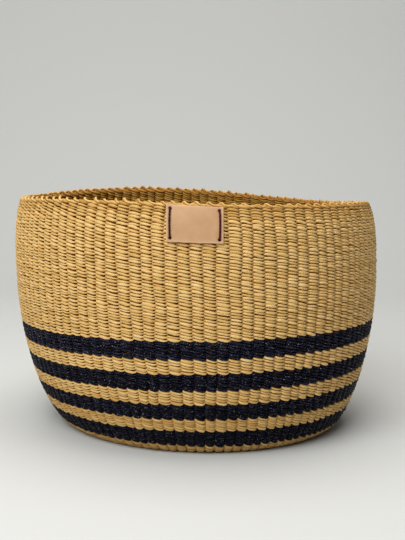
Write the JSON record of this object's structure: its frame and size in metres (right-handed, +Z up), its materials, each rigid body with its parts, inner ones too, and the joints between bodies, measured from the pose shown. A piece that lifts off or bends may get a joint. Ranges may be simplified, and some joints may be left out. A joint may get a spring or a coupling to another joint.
{
  "type": "planter basket",
  "caption": "Round twined grass planter basket with dark stripes low on a bellied wall, a looped rim and a small stitched leather label; holds a plant pot or light things.",
  "frame": {"origin": "on the floor, under the middle of the wall's widest row", "axes": "+Z up, -Y towards the side that carries the label, +X to the right of someone facing the label"},
  "size_m": [0.3511, 0.3524, 0.2239],
  "materials": {
    "natural_grass": "twined undyed elephant grass, golden straw with lighter and darker strands, satin",
    "dark_grass": "twined elephant grass dyed blue-black, with pale flecks, satin",
    "label_leather": "smooth vegetable tanned leather, pale pinkish tan, bare",
    "stitch_thread": "waxed burgundy thread"
  },
  "bodies": {
    "root": {"base_center": "natural_grass", "base_weave": "natural_grass", "foot_band": "natural_grass", "dark_stripe_1": "dark_grass", "plain_band_1": "natural_grass", "dark_stripe_2": "dark_grass", "plain_band_2": "natural_grass", "dark_stripe_3": "dark_grass", "plain_band_3": "natural_grass", "dark_stripe_4": "dark_grass", "upper_wall": "natural_grass", "rim_border": "natural_grass", "leather_label": "label_leather", "label_stitch_left": "stitch_thread", "label_stitch_right": "stitch_thread"}
  },
  "joints": []
}
